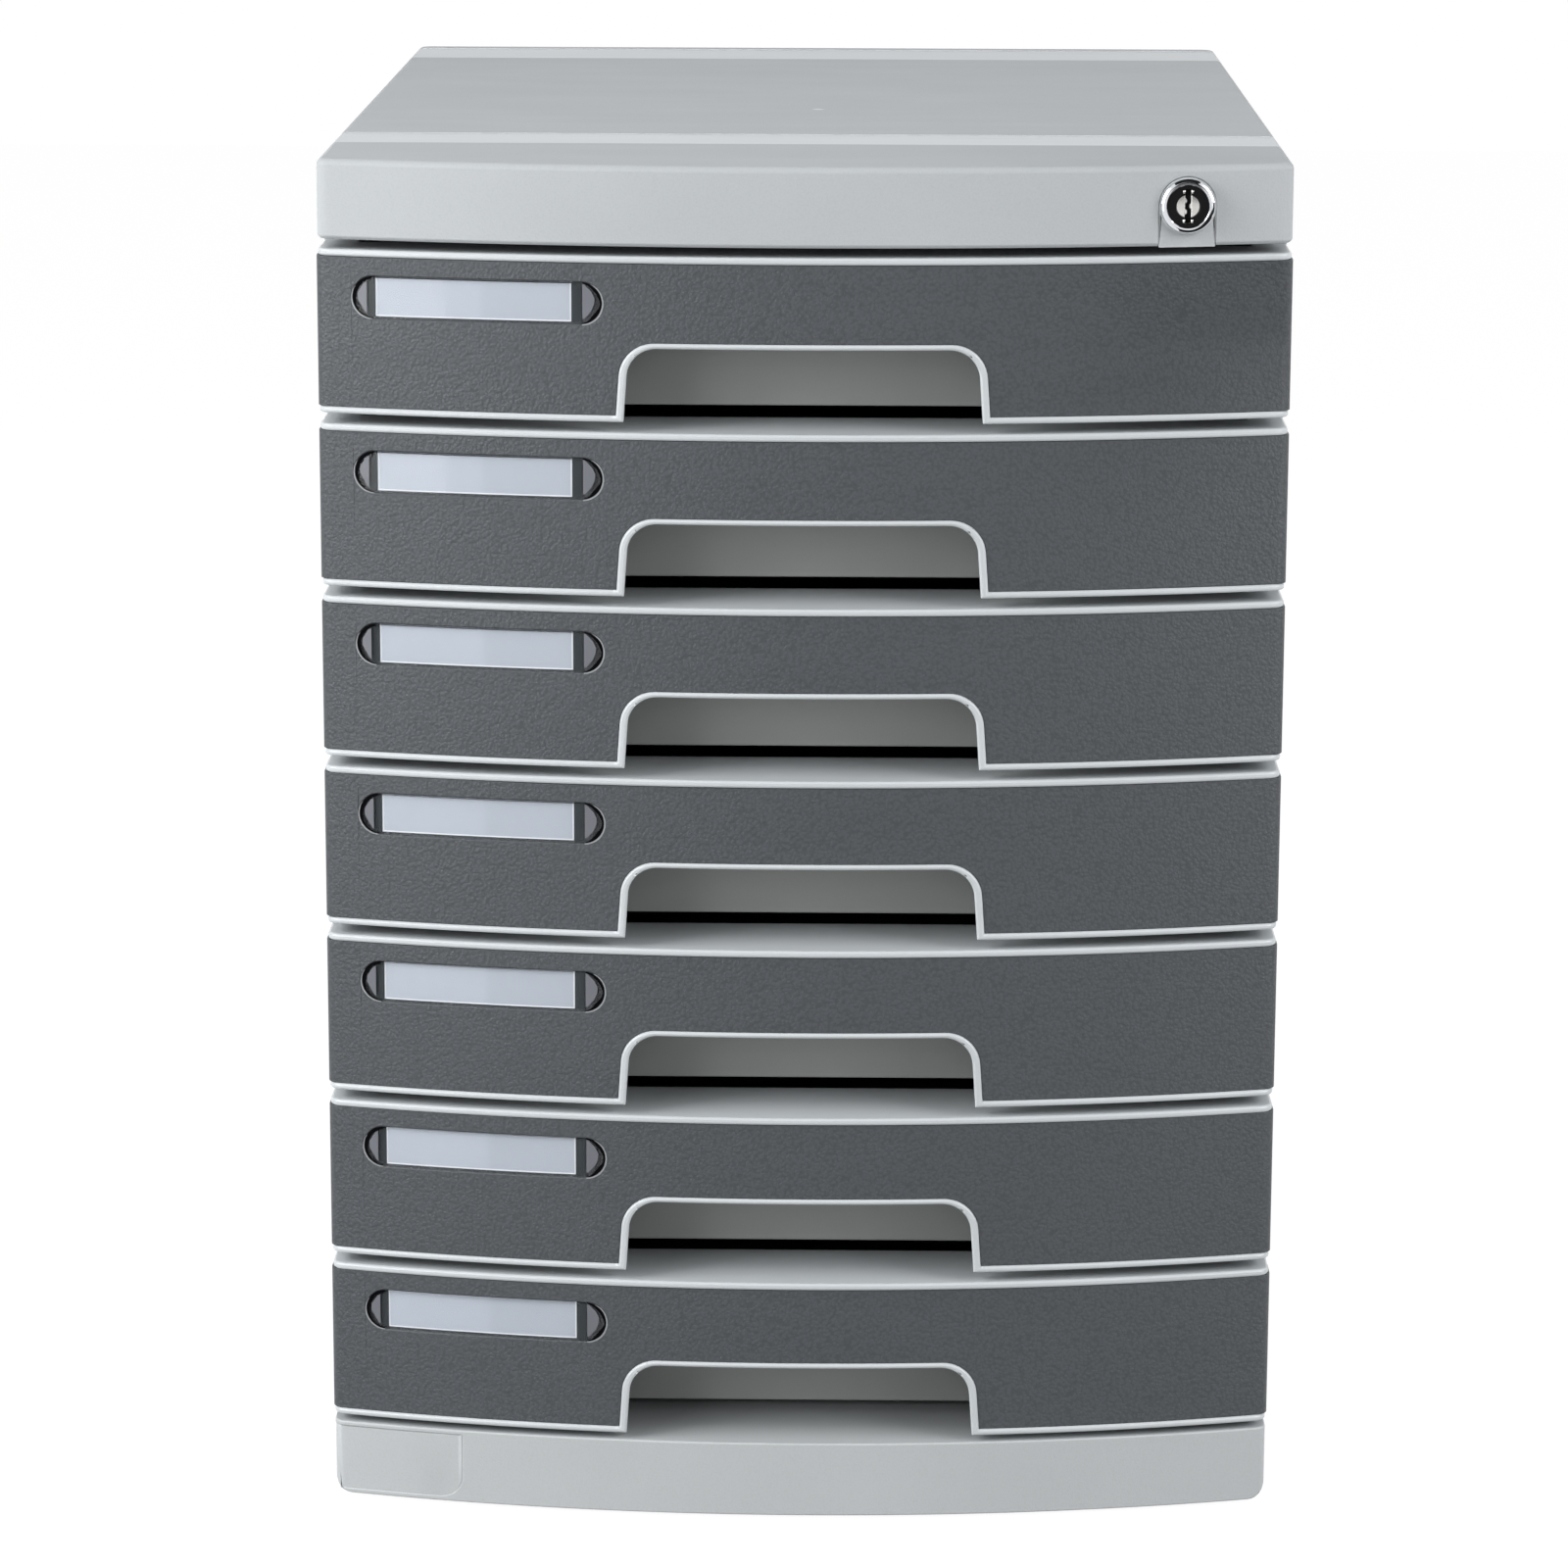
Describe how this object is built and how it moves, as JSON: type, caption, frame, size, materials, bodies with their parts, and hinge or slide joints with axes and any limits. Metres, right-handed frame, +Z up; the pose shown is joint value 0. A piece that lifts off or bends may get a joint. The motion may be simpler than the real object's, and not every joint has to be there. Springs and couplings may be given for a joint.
{
  "type": "desktop file cabinet",
  "caption": "Desktop file cabinet with a stack of shallow bow-fronted drawers, finger cut-outs, label windows and a lock in the cover.",
  "frame": {"origin": "on the surface the feet stand on, under the middle of the footprint", "axes": "+X to the right seen from the front, +Y to the back, +Z up; the bowed drawer fronts face -Y"},
  "size_m": [0.3008, 0.42, 0.4324],
  "materials": {
    "cover_plastic": "fine matt texture, light grey",
    "panel_plastic": "fine matt texture, light grey",
    "tray_plastic": "satin, light grey",
    "insert_plastic": "pebbled grain, dark grey",
    "card": "smooth card",
    "clear_plastic": "clear polished",
    "black_plastic": "satin black",
    "chrome": "polished",
    "nickel": "turned, bright",
    "steel": "zinc plated",
    "rubber": "matt"
  },
  "bodies": {
    "cabinet": {"top_cover": "cover_plastic", "base": "cover_plastic", "left_side_panel": "panel_plastic", "right_side_panel": "panel_plastic", "back_panel": "panel_plastic", "rubber_feet": "rubber", "cover_screws": "steel", "base_screws": "steel", "lock_housing": "cover_plastic", "lock_barrel": "chrome", "lock_clip": "steel"},
    "lock_plug": {"lock_rotor": "nickel", "keyway_ring": "black_plastic", "lock_cam": "steel", "cam_screw": "steel"},
    "lock_bar": {"lock_bar": "steel", "lock_catches": "steel"},
    "drawer_1": {"drawer_1_tray": "tray_plastic", "drawer_1_front": "tray_plastic", "drawer_1_fascia": "insert_plastic", "drawer_1_label_card": "card", "drawer_1_label_window": "clear_plastic", "drawer_1_striker": "tray_plastic"},
    "drawer_2": {"drawer_2_tray": "tray_plastic", "drawer_2_front": "tray_plastic", "drawer_2_fascia": "insert_plastic", "drawer_2_label_card": "card", "drawer_2_label_window": "clear_plastic", "drawer_2_striker": "tray_plastic"},
    "drawer_3": {"drawer_3_tray": "tray_plastic", "drawer_3_front": "tray_plastic", "drawer_3_fascia": "insert_plastic", "drawer_3_label_card": "card", "drawer_3_label_window": "clear_plastic", "drawer_3_striker": "tray_plastic"},
    "drawer_4": {"drawer_4_tray": "tray_plastic", "drawer_4_front": "tray_plastic", "drawer_4_fascia": "insert_plastic", "drawer_4_label_card": "card", "drawer_4_label_window": "clear_plastic", "drawer_4_striker": "tray_plastic"},
    "drawer_5": {"drawer_5_tray": "tray_plastic", "drawer_5_front": "tray_plastic", "drawer_5_fascia": "insert_plastic", "drawer_5_label_card": "card", "drawer_5_label_window": "clear_plastic", "drawer_5_striker": "tray_plastic"},
    "drawer_6": {"drawer_6_tray": "tray_plastic", "drawer_6_front": "tray_plastic", "drawer_6_fascia": "insert_plastic", "drawer_6_label_card": "card", "drawer_6_label_window": "clear_plastic", "drawer_6_striker": "tray_plastic"},
    "drawer_7": {"drawer_7_tray": "tray_plastic", "drawer_7_front": "tray_plastic", "drawer_7_fascia": "insert_plastic", "drawer_7_label_card": "card", "drawer_7_label_window": "clear_plastic", "drawer_7_striker": "tray_plastic"}
  },
  "joints": [
    {"name": "lock_turn", "type": "hinge", "parent": "cabinet", "child": "lock_plug", "pos_m": [0.117, -0.19, 0.42], "axis": [0, -1, 0], "range_deg": [0, 90]},
    {"name": "lock_bar_lift", "type": "slide", "parent": "cabinet", "child": "lock_bar", "axis": [0, 0, 1], "range_m": [0, 0.00848]},
    {"name": "drawer_1_slide", "type": "slide", "parent": "cabinet", "child": "drawer_1", "axis": [0, -1, 0], "range_m": [0, 0.25]},
    {"name": "drawer_2_slide", "type": "slide", "parent": "cabinet", "child": "drawer_2", "axis": [0, -1, 0], "range_m": [0, 0.25]},
    {"name": "drawer_3_slide", "type": "slide", "parent": "cabinet", "child": "drawer_3", "axis": [0, -1, 0], "range_m": [0, 0.25]},
    {"name": "drawer_4_slide", "type": "slide", "parent": "cabinet", "child": "drawer_4", "axis": [0, -1, 0], "range_m": [0, 0.25]},
    {"name": "drawer_5_slide", "type": "slide", "parent": "cabinet", "child": "drawer_5", "axis": [0, -1, 0], "range_m": [0, 0.25]},
    {"name": "drawer_6_slide", "type": "slide", "parent": "cabinet", "child": "drawer_6", "axis": [0, -1, 0], "range_m": [0, 0.25]},
    {"name": "drawer_7_slide", "type": "slide", "parent": "cabinet", "child": "drawer_7", "axis": [0, -1, 0], "range_m": [0, 0.25]}
  ],
  "couplings": [
    {"joint": "lock_turn", "follows": "lock_bar_lift", "rad_per_m": 185.1}
  ]
}
